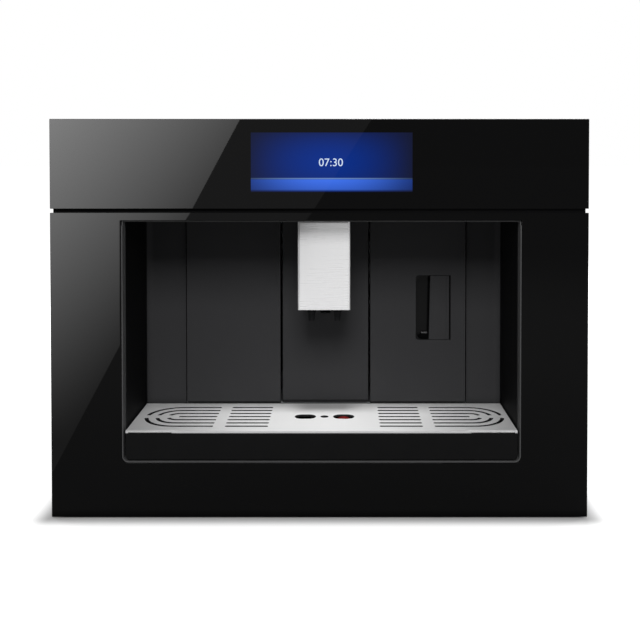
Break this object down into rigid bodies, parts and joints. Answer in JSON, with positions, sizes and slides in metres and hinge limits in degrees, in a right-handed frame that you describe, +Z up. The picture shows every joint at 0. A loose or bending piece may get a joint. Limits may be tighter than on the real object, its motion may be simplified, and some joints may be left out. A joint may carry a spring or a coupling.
{
  "type": "built-in coffee machine",
  "caption": "Built-in coffee machine on runners: black glass front, cup niche with spout and drip tray, water and grounds drawers, bean hopper, grinder and brew group.",
  "frame": {"origin": "middle of the footprint, on the surface that the mounting base stands on", "axes": "front faces -Y, +X to the right as seen from the front, +Z up"},
  "size_m": [0.606, 0.412, 0.4515],
  "materials": {
    "black_glass": "polished black glass, opaque",
    "charcoal": "satin charcoal plastic",
    "gloss_black": "gloss black plastic",
    "dark_plastic": "matt black plastic",
    "clear_plastic": "smoked clear plastic",
    "float_red": "red plastic",
    "screen": "backlit blue screen",
    "board": "green circuit board",
    "stainless": "brushed stainless steel",
    "burr_steel": "machined steel",
    "galvanised": "zinc-coated sheet steel",
    "aluminium": "cast aluminium",
    "hose_rubber": "grey silicone hose"
  },
  "bodies": {
    "mounting_frame": {"mounting_base": "galvanised", "runner_outer_left": "galvanised", "runner_outer_right": "galvanised"},
    "runner_middles": {"runner_middle_left": "galvanised", "runner_middle_right": "galvanised"},
    "machine": {"control_glass": "black_glass", "surround_glass": "black_glass", "opening_trim": "stainless", "front_carrier": "dark_plastic", "display_module": "screen", "control_board": "board", "niche_liner": "charcoal", "centre_panel": "charcoal", "tray_shelf": "galvanised", "drawer_shelf": "galvanised", "tank_coupling": "dark_plastic", "bean_hopper": "clear_plastic", "grinder_housing": "dark_plastic", "ring_burr": "burr_steel", "grinder_motor": "galvanised", "ground_coffee_funnel": "dark_plastic", "brew_frame": "dark_plastic", "brew_chamber": "dark_plastic", "brew_motor": "galvanised", "boiler": "aluminium", "water_pump": "galvanised", "flow_meter": "dark_plastic", "tank_hose": "hose_rubber", "brew_hose": "hose_rubber", "power_inlet": "dark_plastic", "power_board": "board", "base_pan": "galvanised", "side_panel_left": "galvanised", "side_panel_right": "galvanised", "rear_panel": "galvanised", "top_cover": "galvanised", "runner_inner_left": "galvanised", "runner_inner_right": "galvanised"},
    "drip_tray": {"drip_basin": "dark_plastic", "tray_fascia": "gloss_black"},
    "grille": {"cup_grille": "stainless"},
    "float": {"tray_float": "float_red"},
    "spout": {"spout_cover": "stainless", "spout_carriage": "dark_plastic", "spout_nozzle_left": "dark_plastic", "spout_nozzle_right": "dark_plastic"},
    "grounds_drawer": {"grounds_cover": "charcoal", "grounds_bin": "dark_plastic"},
    "tank_drawer": {"tank_cover": "charcoal", "water_tank": "clear_plastic", "tank_lid": "dark_plastic"},
    "handle": {"tank_handle": "charcoal"},
    "hopper_lid": {"bean_lid": "clear_plastic"},
    "funnel_lid": {"ground_coffee_lid": "dark_plastic"},
    "knob": {"grind_knob": "dark_plastic"},
    "rocker": {"power_rocker": "gloss_black"},
    "hatch": {"service_hatch": "dark_plastic"},
    "spindle": {"brew_spindle": "burr_steel"},
    "piston": {"brew_piston": "aluminium"},
    "driven_burr": {"cone_burr": "burr_steel"}
  },
  "joints": [
    {"name": "machine_slide", "type": "slide", "parent": "mounting_frame", "child": "machine", "axis": [0, -1, 0], "range_m": [0, 0.33]},
    {"name": "runner_middle_slide", "type": "slide", "parent": "mounting_frame", "child": "runner_middles", "axis": [0, -1, 0], "range_m": [0, 0.165]},
    {"name": "drip_tray_slide", "type": "slide", "parent": "machine", "child": "drip_tray", "axis": [0, -1, 0], "range_m": [0, 0.25]},
    {"name": "grille_lift", "type": "slide", "parent": "drip_tray", "child": "grille", "axis": [0, 0, 1], "range_m": [0, 0.03]},
    {"name": "float_rise", "type": "slide", "parent": "drip_tray", "child": "float", "axis": [0, 0, 1], "range_m": [0, 0.006]},
    {"name": "spout_height", "type": "slide", "parent": "machine", "child": "spout", "axis": [0, 0, -1], "range_m": [0, 0.045]},
    {"name": "grounds_drawer_slide", "type": "slide", "parent": "machine", "child": "grounds_drawer", "axis": [0, -1, 0], "range_m": [0, 0.19]},
    {"name": "tank_drawer_slide", "type": "slide", "parent": "machine", "child": "tank_drawer", "axis": [0, -1, 0], "range_m": [0, 0.19]},
    {"name": "tank_handle_pull", "type": "hinge", "parent": "tank_drawer", "child": "handle", "pos_m": [0.1608, -0.0905, 0.2198], "axis": [0, 0, 1], "range_deg": [0, 14], "stiffness_Nm_per_rad": 0.05},
    {"name": "bean_lid_hinge", "type": "hinge", "parent": "machine", "child": "hopper_lid", "pos_m": [-0.1611, 0.123, 0.4393], "axis": [-1, 0, 0], "range_deg": [0, 95]},
    {"name": "ground_coffee_lid_hinge", "type": "hinge", "parent": "machine", "child": "funnel_lid", "pos_m": [-0.2429, 0.068, 0.4393], "axis": [-1, 0, 0], "range_deg": [0, 95]},
    {"name": "grind_knob_turn", "type": "hinge", "parent": "machine", "child": "knob", "pos_m": [-0.07305, 0.034, 0.44], "axis": [0, 0, 1], "range_deg": [0, 270]},
    {"name": "power_rocker_tilt", "type": "hinge", "parent": "machine", "child": "rocker", "pos_m": [0.165, 0.2015, 0.0702], "axis": [-1, 0, 0], "range_deg": [0, 16]},
    {"name": "service_hatch_hinge", "type": "hinge", "parent": "machine", "child": "hatch", "pos_m": [-0.264, 0.0982, 0.1855], "axis": [0, 0, -1], "range_deg": [0, 110]},
    {"name": "brew_spindle_turn", "type": "hinge", "parent": "machine", "child": "spindle", "pos_m": [-0.21685, 0.072, 0.11], "axis": [0, 0, 1], "range_deg": [0, 1800]},
    {"name": "brew_piston_slide", "type": "slide", "parent": "machine", "child": "piston", "axis": [0, 0, 1], "range_m": [0, 0.03]},
    {"name": "cone_burr_spin", "type": "hinge", "parent": "machine", "child": "driven_burr", "pos_m": [-0.15605, 0.034, 0.3], "axis": [0, 0, 1], "continuous": true}
  ],
  "couplings": [
    {"joint": "runner_middle_slide", "follows": "machine_slide", "ratio": 0.5},
    {"joint": "brew_spindle_turn", "follows": "brew_piston_slide", "rad_per_m": 1047.2}
  ]
}
